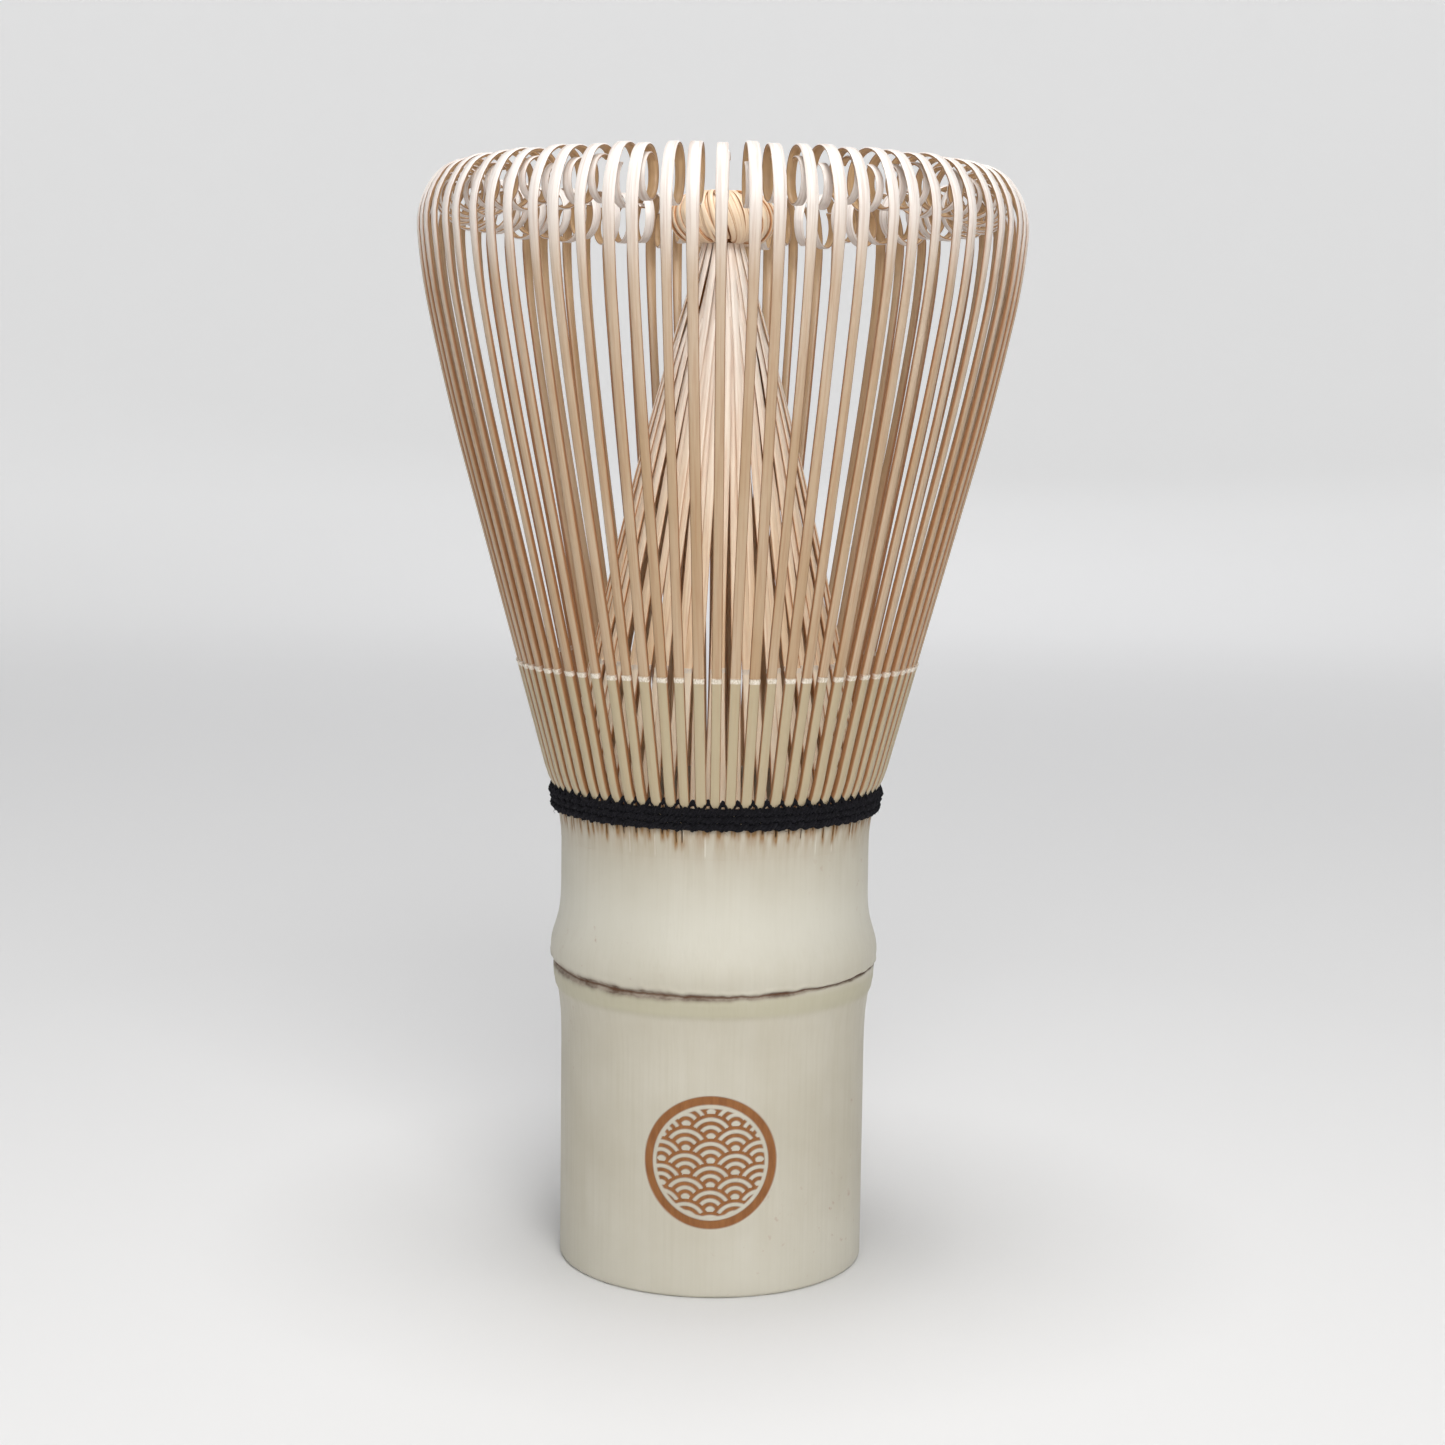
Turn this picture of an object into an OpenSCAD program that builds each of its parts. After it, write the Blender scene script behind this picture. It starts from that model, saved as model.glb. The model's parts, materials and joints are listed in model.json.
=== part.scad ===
// Bamboo tea whisk: a length of culm whose upper end is split into fine tines.
// Every other tine opens outwards and ends in a hook; the ones between are gathered into a knot.
// A black thread is wound round the split and woven between the two rings of tines.

/* [Handle] */
// Outside diameter of the straight grip
grip_d = 30; // [29:0.1:31]
// Diameter of the hollow below the node
bore_d = 22; // [20:0.1:23]
// Depth of the hollow below the node
bore_depth = 29; // [27:0.5:29]
// Height of the ridge above the leaf scar over the grip
ridge_h = 0.93; // [0.5:0.01:1.2]
// Depth of the groove that the leaf scar makes
scar_depth = 0.3; // [0.1:0.01:0.5]

/* [Split] */
// Height where the slits of the split start
split_z = 42; // [41:0.1:43]
// Number of segments that the culm is first split into
segments = 24; // [18:1:24]
// Outer tines in each segment, with as many inner tines between them
tines_each = 3; // [2:1:3]

/* [Tines] */
// Height where the tines bend away from the thread
tine_z = 47; // [46.9:0.05:47.5]
// Width of an outer tine
outer_w = 0.82; // [0.6:0.01:0.86]
// Thickness of an outer tine at its root
outer_t = 0.7; // [0.5:0.01:0.72]
// Thickness of an outer tine at its tip
tip_t = 0.34; // [0.25:0.01:0.4]
// Width of an inner tine
inner_w = 0.36; // [0.3:0.01:0.38]
// Height where the inner tines meet under the knot
neck_z = 97.8; // [96:0.1:98]
// How much the tines differ from each other
unevenness = 1; // [0:0.1:1]

/* [Thread] */
// Thickness of the thread
thread_d = 0.66; // [0.5:0.02:0.68]
// Turns wound round the split
turns = 3; // [2:1:3]

/* [Hidden] */
$fn = 96;
clear = 0.02;            // gap between pieces that lie against each other
grip_r = grip_d / 2;
bore_r = bore_d / 2;
chamfer = 0.4;           // of the foot's edge
neck_r = grip_r + 0.12;  // culm between the node and the split
ridge_z = 31.2;          // the node's ridge, and half its width
ridge_half = 2.6;
shoulder_z = 27.8;       // the lower swelling under the scar
shoulder_half = 2.6;
shoulder_h = 0.28;
scar_z = 29.35;          // the scar, and half its width
scar_half = 0.35;
scar_step = 0.28;        // between the profile's points across the scar
row_step = 1;            // between the profile's points elsewhere
swell_z = 22;            // below this the grip is a true cylinder
cavity_r = bore_r + 0.6; // hollow above the node, where the diaphragm sits on a step
pare_z = 38;             // above this the wall is pared thin for splitting
pared_r = 14.1;
pared_top_r = 14.15;
split_r = neck_r + 0.03; // outside radius where the split starts
septum_t = 1.6;
septum_dome = 0.8;

tines = segments * tines_each;
pitch = 360 / tines;
segment_pitch = 360 / segments;
root_gap = 0.15;         // free height under the tines, so that they can flex
root_top = tine_z - root_gap;
root_out = grip_r + 0.5; // outside radius of the split collar at its top
collar_floor = 0.6;      // whole ring under the slits
slit_w = 0.08;
root_share = 0.62;       // share of the pitch taken by an outer tine's root

// How far the tines differ at most, at an unevenness of 1
turn_spread = 0.15;      // degrees round the axis
lean_spread = 0.2;       // degrees of lean at the root
straight_spread = 0.4;   // length of the straight stretch
hook_spread = 0.08;      // share of the hook's length
curl_spread = 0.12;      // share of the last stretch's length and turn

hinge_r = 15.55;         // middle of an outer tine's root
start_lean = 30;
// An outer tine's run from its root: [length, turn] of each stretch, a minus turn bends it inwards
tine_run = [[2.4, -14.7], [29.8, 0], [15, -3.4], [7.5, -7], [5.1, -42], [3.3, -62], [8.4, -190]];
straight = 1;            // the long straight stretch
hook_from = 5;           // the stretches from here on make the hook
step_turn = 15;          // finest bend between two points of a curve

layers = 4;              // rings that the inner tines stack into at the neck
layer_step = 0.36;
inner_root_r = 14.6;     // middle of an inner tine's root
inner_root_t = 0.5;
inner_neck_r = 2.55;     // outside of the outermost ring at the neck
inner_neck_t = 0.22;

knot_z = 101.6;          // centre of the knot
knot_r = 5.05;
knot_h = 5.1;
knot_dimple = 1.1;       // depth of the hollow in the knot's top

thread_r = thread_d / 2;
turn_step = thread_d + 0.04;
top_turn_z = 46.58;
turn_names = ["thread_upper_turn", "thread_middle_turn", "thread_lower_turn"];
weave_z = tine_z + 0.6;
weave_r = 15.1;
weave_thread_r = 0.26;
tie_r = 0.45;
tie_angle = 95;          // where the thread's ends are tied, from +X

function two_digits(n) = str(n < 10 ? "0" : "", n);
function outer_name(g) = str("outer_tines_", two_digits(g + 1));
function inner_name(g) = str("inner_tines_", two_digits(g + 1));

// A number from -1 to 1 that differs from tine to tine, k naming what it is for
function vary(i, k) = unevenness * (sin(i * 137.5 + k * 71) + sin(i * 222.3 + k * 113)) / 2;
function bump(z, middle, half) = exp(-pow((z - middle) / half, 2));
function blend(a, b, share) = a + (b - a) * share;

// ---- Handle ----

function culm_r(z) =
    (z > ridge_z ? neck_r : blend(grip_r, neck_r, max(0, (z - swell_z) / (ridge_z - swell_z))))
    + ridge_h * bump(z, ridge_z, ridge_half)
    + shoulder_h * bump(z, shoulder_z, shoulder_half) * (z > swell_z ? 1 : 0)
    - scar_depth * bump(z, scar_z, scar_half);

module handle() {
    coarse = [for (z = [swell_z + row_step / 2 : row_step : split_z - row_step]) if (abs(z - scar_z) > row_step) z];
    below = [for (z = coarse) if (z < scar_z) z];
    above = [for (z = coarse) if (z > scar_z) z];
    fine = [for (k = [-3 : 3]) scar_z + k * scar_step];
    outside = [for (z = concat(below, fine, above)) [culm_r(z), z]];
    color([0.84, 0.81, 0.70]) rotate_extrude() polygon(concat(
        [[bore_r, 0], [grip_r - chamfer, 0], [grip_r, chamfer], [grip_r, swell_z]],
        outside,
        [[split_r, split_z], [pared_r, split_z], [cavity_r, pare_z]],
        [[cavity_r, bore_depth], [bore_r, bore_depth]]
    ));
}

// The wall across the culm at its node, flat below and slightly domed above
module node_diaphragm() {
    r = cavity_r - clear;
    dome_steps = 6;
    dome = [for (k = [dome_steps : -1 : 0])
        let (share = k / dome_steps)
        [r * share, bore_depth + septum_t + septum_dome * (1 - share * share)]];
    color([0.80, 0.70, 0.50]) rotate_extrude() polygon(concat([[0, bore_depth], [r, bore_depth]], dome));
}

// The split wall under the thread: a slit on each side of every tine's root
module split_collar() {
    color([0.78, 0.70, 0.54]) difference() {
        rotate_extrude() polygon([
            [pared_r, split_z], [split_r, split_z], [root_out, root_top], [pared_top_r, root_top]
        ]);
        for (i = [0 : tines - 1], side = [-1, 1])
            rotate([0, 0, i * pitch + side * pitch * root_share / 2])
                translate([pared_r - 1, -slit_w / 2, split_z + collar_floor])
                    cube([root_out - pared_r + 2, slit_w, root_top - split_z]);
    }
}

// ---- Outer tines ----

// Points [r, z, heading, length so far] along a run of [length, turn] stretches
function bend_to(p, length, turn) =
    let (half = p[2] + turn / 2, a = turn / 2)
    let (chord = abs(a) < 0.01 ? length : length * sin(a) / (a * PI / 180))
    [p[0] + chord * sin(half), p[1] + chord * cos(half), p[2] + turn, p[3] + length];
function arc_points(p, length, turn, n) =
    n == 0 ? [] : let (q = bend_to(p, length / n, turn / n))
    concat([q], arc_points(q, length * (n - 1) / n, turn * (n - 1) / n, n - 1));
function run_points(p, run, k = 0) =
    k == len(run) ? [] :
    let (part = arc_points(p, run[k][0], run[k][1], max(1, ceil(abs(run[k][1]) / step_turn))))
    concat(part, run_points(part[len(part) - 1], run, k + 1));

function own_run(i) = [for (k = [0 : len(tine_run) - 1])
    let (size = k < hook_from ? 1 : 1 + hook_spread * vary(i, 1))
    let (longer = k == straight ? straight_spread * vary(i, 2) : 0)
    let (more = k == len(tine_run) - 1 ? 1 + curl_spread * vary(i, 3) : 1)
    [tine_run[k][0] * size * more + longer, tine_run[k][1] * more]];

module outer_tine(i) {
    start = [hinge_r, tine_z, start_lean + lean_spread * vary(i, 4), 0];
    path = concat([start], run_points(start, own_run(i)));
    length = path[len(path) - 1][3];
    half = [for (p = path) blend(outer_t, tip_t, p[3] / length) / 2];
    outside = [for (k = [0 : len(path) - 1])
        [path[k][0] + half[k] * cos(path[k][2]), path[k][1] - half[k] * sin(path[k][2])]];
    inside = [for (k = [len(path) - 1 : -1 : 0])
        [path[k][0] - half[k] * cos(path[k][2]), path[k][1] + half[k] * sin(path[k][2])]];
    root_line = [[hinge_r + outer_t / 2, tine_z], [hinge_r - outer_t / 2, tine_z]];
    body = concat([root_line[0]], [for (k = [1 : len(path) - 1]) outside[k]],
        [for (k = [0 : len(path) - 2]) inside[k]], [root_line[1]]);
    rotate([90, 0, i * pitch + turn_spread * vary(i, 5)])
        translate([0, 0, -outer_w / 2]) linear_extrude(outer_w) polygon(body);
}

module outer_tines(g) {
    color([0.84, 0.70, 0.50]) for (k = [0 : tines_each - 1])
        outer_tine(g * tines_each + k);
}

// ---- Inner tines ----

module inner_tine(i) {
    neck = inner_neck_r - layer_step * (i % layers);
    rotate([90, 0, (i + 0.5) * pitch])
        translate([0, 0, -inner_w / 2]) linear_extrude(inner_w) polygon([
            [inner_root_r - inner_root_t / 2, tine_z], [inner_root_r + inner_root_t / 2, tine_z],
            [neck, neck_z], [neck - inner_neck_t, neck_z]
        ]);
}

module inner_tines(g) {
    color([0.90, 0.75, 0.52]) for (k = [0 : tines_each - 1])
        inner_tine(g * tines_each + k);
}

// The inner tines' curled ends, as one bun on a short neck with a dimple in its top
module center_knot() {
    roll = [for (a = [-60 : 15 : 90])
        [knot_r / 2 * (1 + cos(a)), knot_z + knot_h / 2 * sin(a)]];
    color([0.88, 0.72, 0.50]) rotate_extrude() polygon(concat(
        [[0, neck_z + clear], [inner_neck_r, neck_z + clear]],
        roll,
        [[0, knot_z + knot_h / 2 - knot_dimple]]
    ));
}

// ---- Thread ----

function wall_r(z) = blend(split_r, root_out, (z - split_z) / (root_top - split_z));

module ring(r, z, thick) {
    translate([0, 0, z]) rotate_extrude() translate([r, 0]) circle(thick, $fn = 32);
}

// One turn round the collar, turn 0 the upper one
module thread_turn(n) {
    z = top_turn_z - n * turn_step;
    color([0.10, 0.09, 0.13]) ring(wall_r(z) + thread_r + 2 * clear, z, thread_r);
}

// The round that runs between the outer and the inner tines and holds them apart
module thread_weave() {
    color([0.10, 0.09, 0.13]) ring(weave_r, weave_z, weave_thread_r);
}

// Where the two ends are tied, a small knot on the lowest turn
module thread_tie() {
    z = top_turn_z - (turns - 1) * turn_step - thread_r - tie_r - clear;
    r = wall_r(z) + tie_r + 2 * clear;
    color([0.10, 0.09, 0.13]) rotate([0, 0, tie_angle]) translate([r, 0, z]) sphere(tie_r, $fn = 32);
}

handle();
node_diaphragm();
split_collar();
center_knot();
thread_weave();
thread_tie();
for (n = [0 : turns - 1]) thread_turn(n);
for (g = [0 : segments - 1]) outer_tines(g);
for (g = [0 : segments - 1]) inner_tines(g);
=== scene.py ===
import json
import math
import random

import bmesh
import bpy
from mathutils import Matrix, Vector, noise


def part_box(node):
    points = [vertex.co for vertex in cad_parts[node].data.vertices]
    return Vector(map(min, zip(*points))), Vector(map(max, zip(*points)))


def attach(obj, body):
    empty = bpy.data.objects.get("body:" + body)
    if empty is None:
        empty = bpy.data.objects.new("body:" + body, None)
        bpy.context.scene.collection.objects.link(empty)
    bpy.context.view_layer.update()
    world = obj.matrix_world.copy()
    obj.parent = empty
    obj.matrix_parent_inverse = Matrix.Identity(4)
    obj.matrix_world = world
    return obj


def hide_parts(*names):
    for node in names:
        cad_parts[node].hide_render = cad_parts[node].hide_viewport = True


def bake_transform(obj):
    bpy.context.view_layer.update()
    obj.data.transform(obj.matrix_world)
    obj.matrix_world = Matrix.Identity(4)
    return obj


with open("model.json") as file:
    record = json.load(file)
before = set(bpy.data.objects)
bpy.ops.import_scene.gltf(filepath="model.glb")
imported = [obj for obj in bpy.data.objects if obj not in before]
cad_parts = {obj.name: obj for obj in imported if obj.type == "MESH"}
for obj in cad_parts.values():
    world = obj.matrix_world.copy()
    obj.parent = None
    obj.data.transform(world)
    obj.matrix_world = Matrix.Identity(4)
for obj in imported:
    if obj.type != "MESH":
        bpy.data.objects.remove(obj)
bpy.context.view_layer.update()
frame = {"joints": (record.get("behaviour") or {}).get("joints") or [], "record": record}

# Bamboo tea whisk. Every shape below is in millimetres, and becomes metres in Shape.piece().
MM = 0.001

# ---- Places that the frame gives ----

MOUNTS = {m["name"]: m for m in frame["record"]["mounts"]}
JOINTS = frame["joints"]
SEGMENTS = len(JOINTS)
TINES_EACH = 3
TINES = SEGMENTS * TINES_EACH
PITCH = 360 / TINES


def node_span(node):
    """Outside radius, lowest and highest z of a round CAD node, in mm."""
    low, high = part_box(node)
    return high.x / MM, low.z / MM, high.z / MM


GRIP_R = MOUNTS["grip"]["dims"]["r_mm"]
BORE_R = MOUNTS["base_socket"]["dims"]["r_mm"]
BORE_DEPTH = MOUNTS["base_socket"]["dims"]["length_mm"]
HINGE_R = math.hypot(*JOINTS[0]["pos_m"][:2]) / MM
TINE_Z = JOINTS[0]["pos_m"][2] / MM
SPLIT_Z = node_span("handle")[2]
COLLAR_R, _, COLLAR_TOP = node_span("split_collar")
CAVITY_R, _, DIAPHRAGM_TOP = node_span("node_diaphragm")
KNOT_R = node_span("center_knot")[0]


def smooth(low, high, x):
    """0 below low, 1 above high, with an even rise between."""
    t = min(1.0, max(0.0, (x - low) / (high - low)))
    return t * t * (3 - 2 * t)


def bump(x, middle, half):
    """1 at the middle, falling smoothly to 0 on both sides."""
    return math.exp(-(((x - middle) / half) ** 2))


def vary(i, k):
    """A number from -1 to 1 that differs from tine to tine, as the CAD model has it."""
    first = math.sin(math.radians(i * 137.5 + k * 71))
    second = math.sin(math.radians(i * 222.3 + k * 113))
    return (first + second) / 2


def wobble(x, y=0.0, z=0.0):
    """Smooth noise from about -1 to 1."""
    return noise.noise(Vector((x, y, z)))


def polar(r, angle, z):
    """The point at a radius, an angle and a height."""
    return (r * math.cos(angle), r * math.sin(angle), z)


# ---- Mesh building ----


class Shape:
    """Points, faces and per-point values of one piece."""

    def __init__(self):
        self.points, self.faces, self.values = [], [], {}

    def add_points(self, points, **values):
        first = len(self.points)
        self.points += points
        for key, value in values.items():
            own = self.values.setdefault(key, [])
            own += [own_default(value)] * (first - len(own)) + value
        return first

    def quads(self, first, n, count, closed):
        """Joins count rings of n points each, from point number first on, with four-sided faces."""
        for a in range(count if closed else count - 1):
            near, far = first + a * n, first + (a + 1) % count * n
            for k in range(n):
                m = (k + 1) % n
                self.faces.append((near + k, near + m, far + m, far + k))

    def tube(self, rings, closed=False, **values):
        """Skins rings of the same number of points, and caps the ends unless it is closed."""
        n, count = len(rings[0]), len(rings)
        flat = {k: [x for ring in v for x in ring] for k, v in values.items()}
        first = self.add_points([p for ring in rings for p in ring], **flat)
        self.quads(first, n, count, closed)
        if not closed:
            self.faces.append(tuple(first + k for k in reversed(range(n))))
            self.faces.append(tuple(first + (count - 1) * n + k for k in range(n)))

    def piece(self, name, material, body, slot, nodes=(), sharp=62):
        """Makes the piece in its material, on its body and in place of its CAD nodes. The slot argument is
        not used.
        """
        mesh = bpy.data.meshes.new(name)
        mesh.from_pydata([tuple(c * MM for c in p) for p in self.points], [], self.faces)
        for key, value in self.values.items():
            kind = "FLOAT_VECTOR" if isinstance(value[0], tuple) else "FLOAT"
            layer = mesh.attributes.new(key, kind, "POINT")
            flat = [c for v in value for c in v] if kind == "FLOAT_VECTOR" else value
            layer.data.foreach_set("vector" if kind == "FLOAT_VECTOR" else "value", flat)
        work = bmesh.new()
        work.from_mesh(mesh)
        bmesh.ops.recalc_face_normals(work, faces=work.faces)
        work.to_mesh(mesh)
        work.free()
        mesh.shade_smooth()
        mesh.set_sharp_from_angle(angle=math.radians(sharp))
        mesh.materials.append(material)
        made = bpy.data.objects.new(name, mesh)
        bpy.context.scene.collection.objects.link(made)
        if body:
            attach(made, body)
        if nodes:
            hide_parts(*nodes)
        return made


def own_default(value):
    return (0.0, 0.0, 0.0) if isinstance(value[0], tuple) else 0.0


def lathe(shape, columns, rows, closed=True, **marks):
    """Revolves rows round the axis. A row is a function of the angle that gives (r, z, {mark: value})."""
    rings, values = [], {key: [] for key in marks}
    for row in rows:
        made = [row(a) for a in columns]
        rings.append([polar(r, a, z) for a, (r, z, _) in zip(columns, made)])
        for key in marks:
            values[key].append([m.get(key, marks[key]) for _, _, m in made])
    flat = {k: [x for ring in v for x in ring] for k, v in values.items()}
    first = shape.add_points([p for ring in rings for p in ring], **flat)
    shape.quads(first, len(columns), len(rings), closed)


def steps(low, high, size):
    """Evenly spaced numbers from low to high, about size apart."""
    n = max(1, round((high - low) / size))
    return [low + (high - low) * k / n for k in range(n + 1)]


# ---- Materials ----


def srgb(red, green, blue):
    """A colour as a screen shows it, 0 to 255, in the shader's linear numbers."""
    linear = [((c / 255 + 0.055) / 1.055) ** 2.4 if c > 10 else c / 3295 for c in (red, green, blue)]
    return (*linear, 1)


class Nodes:
    """Shorthand for one material's node tree."""

    def __init__(self, name, roughness, **sockets):
        self.material = bpy.data.materials.new(name)
        self.material.use_nodes = True
        self.tree = self.material.node_tree
        self.shader = self.tree.nodes["Principled BSDF"]
        self.shader.inputs["Roughness"].default_value = roughness
        for key, value in sockets.items():
            self.shader.inputs[key.replace("_", " ")].default_value = value

    def put(self, socket, value):
        if isinstance(value, bpy.types.NodeSocket):
            self.tree.links.new(value, socket)
        else:
            socket.default_value = value

    def math(self, operation, *values, clamp=False):
        made = self.tree.nodes.new("ShaderNodeMath")
        made.operation, made.use_clamp = operation, clamp
        for socket, value in zip(made.inputs, values):
            self.put(socket, value)
        return made.outputs[0]

    def mark(self, name):
        """A per-point number or vector of the mesh."""
        made = self.tree.nodes.new("ShaderNodeAttribute")
        made.attribute_name = name
        return made.outputs

    def place(self):
        return self.tree.nodes.new("ShaderNodeTexCoord").outputs["Object"]

    def stretched(self, vector, scale):
        made = self.tree.nodes.new("ShaderNodeMapping")
        self.put(made.inputs["Vector"], vector)
        made.inputs["Scale"].default_value = scale
        return made.outputs[0]

    def noise(self, vector, scale, detail=3.0, roughness=0.55):
        made = self.tree.nodes.new("ShaderNodeTexNoise")
        self.put(made.inputs["Vector"], vector)
        made.inputs["Scale"].default_value = scale
        made.inputs["Detail"].default_value = detail
        made.inputs["Roughness"].default_value = roughness
        return made.outputs["Fac"]

    def cells(self, vector, scale):
        made = self.tree.nodes.new("ShaderNodeTexVoronoi")
        self.put(made.inputs["Vector"], vector)
        made.inputs["Scale"].default_value = scale
        return made.outputs["Distance"]

    def range(self, value, low, high, to_low=0.0, to_high=1.0):
        made = self.tree.nodes.new("ShaderNodeMapRange")
        for socket, number in zip(made.inputs, (value, low, high, to_low, to_high)):
            self.put(socket, number)
        return made.outputs[0]

    def mix(self, share, first, second, blend="MIX"):
        made = self.tree.nodes.new("ShaderNodeMix")
        made.data_type, made.blend_type = "RGBA", blend
        self.put(made.inputs["Factor"], share)
        colours = [s for s in made.inputs if s.type == "RGBA"]
        self.put(colours[0], first)
        self.put(colours[1], second)
        return next(s for s in made.outputs if s.type == "RGBA")

    def bump(self, height, distance, strength=1.0, after=None):
        made = self.tree.nodes.new("ShaderNodeBump")
        made.inputs["Strength"].default_value = strength
        made.inputs["Distance"].default_value = distance
        self.put(made.inputs["Height"], height)
        if after is not None:
            self.put(made.inputs["Normal"], after)
        return made.outputs[0]

    def finish(self, colour, roughness=None, normal=None):
        self.put(self.shader.inputs["Base Color"], colour)
        if roughness is not None:
            self.put(self.shader.inputs["Roughness"], roughness)
        if normal is not None:
            self.put(self.shader.inputs["Normal"], normal)
        return self.material


FIBRE = (1.0, 1.0, 0.035)  # squeezes the grain into fibres along the culm


def culm_skin():
    """The grip's and collar's pale skin: fibres, soft mottling, specks, the grey scar, painted shade in the
    scar's groove and the slits, browning towards the thread, a band of painted light above the node, pale
    splinters, burned stamp.
    """
    n = Nodes("culm_skin", 0.5, Specular_IOR_Level=0.28)
    place = n.place()
    fibres = n.noise(n.stretched(place, FIBRE), 2600, 4)
    bands = n.noise(n.stretched(place, FIBRE), 420, 2)
    mottle = n.noise(place, 95, 4)
    colour = n.mix(n.range(mottle, 0.35, 0.7), srgb(185, 179, 163), srgb(196, 191, 177))
    colour = n.mix(n.range(bands, 0.35, 0.75, 0, 0.3), colour, srgb(179, 172, 151))
    colour = n.mix(n.range(fibres, 0.45, 0.8, 0, 0.16), colour, srgb(162, 152, 128))
    # Painted light: the band above the node is lightened where light from above falls, and the skin is
    # lighter towards the foot. The collar's pale splinters use the same colour.
    colour = n.mix(n.mark("glow")["Fac"], colour, srgb(213, 211, 199))
    colour = n.mix(n.mark("green")["Fac"], colour, srgb(174, 169, 140))
    dots = n.range(n.noise(place, 1000, 2), 0.67, 0.76)
    clusters = n.range(n.noise(place, 60, 2), 0.5, 0.68)
    specks = n.math("MULTIPLY", dots, clusters)
    colour = n.mix(n.math("MULTIPLY", specks, 0.5), colour, srgb(156, 108, 84))
    streaks = n.range(n.noise(n.stretched(place, (1, 1, 0.09)), 1300, 3), 0.38, 0.62)
    stain = n.math("MULTIPLY", n.mark("stain")["Fac"], n.math("ADD", streaks, 0.35), clamp=True)
    # Browner towards the thread and round the slit ends, in streaks.
    colour = n.mix(stain, colour, srgb(142, 110, 72))
    ragged = n.range(n.noise(n.stretched(place, (1, 1, 2.5)), 1500, 4), 0.3, 0.6, 0.72, 1.0)
    scar = n.math("MULTIPLY", n.mark("scar")["Fac"], ragged, clamp=True)
    grey = n.mix(n.range(n.noise(place, 420, 3), 0.4, 0.6), srgb(92, 72, 58), srgb(150, 138, 124))
    colour = n.mix(scar, colour, grey)
    # Painted shade: deep darkens the bottom of the scar's groove and the open slits, where shade falls.
    colour = n.mix(n.mark("deep")["Fac"], colour, srgb(88, 56, 36))
    toast = n.mix(n.noise(n.stretched(place, (1, 1, 0.2)), 2200, 3), srgb(112, 66, 32), srgb(158, 106, 60))
    toast = n.mix(n.range(n.mark("rim")["Fac"], 0, 1, 0, 0.75), toast, srgb(88, 50, 26))
    colour = n.mix(n.mark("burn")["Fac"], colour, toast)
    rough = n.range(fibres, 0.3, 0.8, 0.44, 0.6)
    rough = n.math("ADD", rough, n.math("MULTIPLY", n.mark("scar")["Fac"], 0.3))
    normal = n.bump(fibres, 0.00003, 0.7)
    normal = n.bump(n.math("MULTIPLY", ragged, n.mark("scar")["Fac"]), 0.00015, 0.8, after=normal)
    return n.finish(colour, rough, normal)


def cut_bamboo():
    """The cut wall and the inside: straw coloured, with dark dots and lines of the fibre bundles."""
    n = Nodes("cut_bamboo", 0.62, Specular_IOR_Level=0.3)
    place = n.place()
    dots = n.cells(n.stretched(place, (1, 1, 0.03)), 1500)
    fibres = n.noise(n.stretched(place, FIBRE), 1500, 4)
    colour = n.mix(n.range(fibres, 0.3, 0.7), srgb(214, 190, 142), srgb(190, 160, 112))
    colour = n.mix(n.range(dots, 0.1, 0.32, 0.75, 0.0), colour, srgb(120, 84, 50))
    colour = n.mix(n.range(n.noise(place, 160, 3), 0.45, 0.7, 0, 0.35), colour, srgb(164, 128, 84))
    normal = n.bump(n.math("ADD", fibres, n.range(dots, 0.1, 0.3)), 0.00006, 0.7)
    return n.finish(colour, n.range(fibres, 0.3, 0.7, 0.52, 0.72), normal)


def membrane():
    """The diaphragm: a papery pale skin with fibres that run across it."""
    n = Nodes("diaphragm", 0.7, Specular_IOR_Level=0.25)
    place = n.place()
    flakes = n.noise(n.stretched(place, (1, 0.25, 1)), 900, 5)
    colour = n.mix(n.range(flakes, 0.35, 0.65), srgb(205, 180, 132), srgb(228, 212, 176))
    colour = n.mix(n.range(n.noise(place, 230, 3), 0.5, 0.68, 0, 0.5), colour, srgb(150, 112, 70))
    return n.finish(colour, normal=n.bump(flakes, 0.00015, 0.8))


def knot_shade():
    """What shows between the knot's strands: painted shade, warm brown, with the lines of the shaded
    strands further in.
    """
    n = Nodes("knot_shade", 0.6, Specular_IOR_Level=0.3)
    lines = n.noise(n.place(), 1400, 3)
    return n.finish(n.mix(lines, srgb(140, 84, 42), srgb(190, 130, 78)), normal=n.bump(lines, 0.0001))


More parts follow.
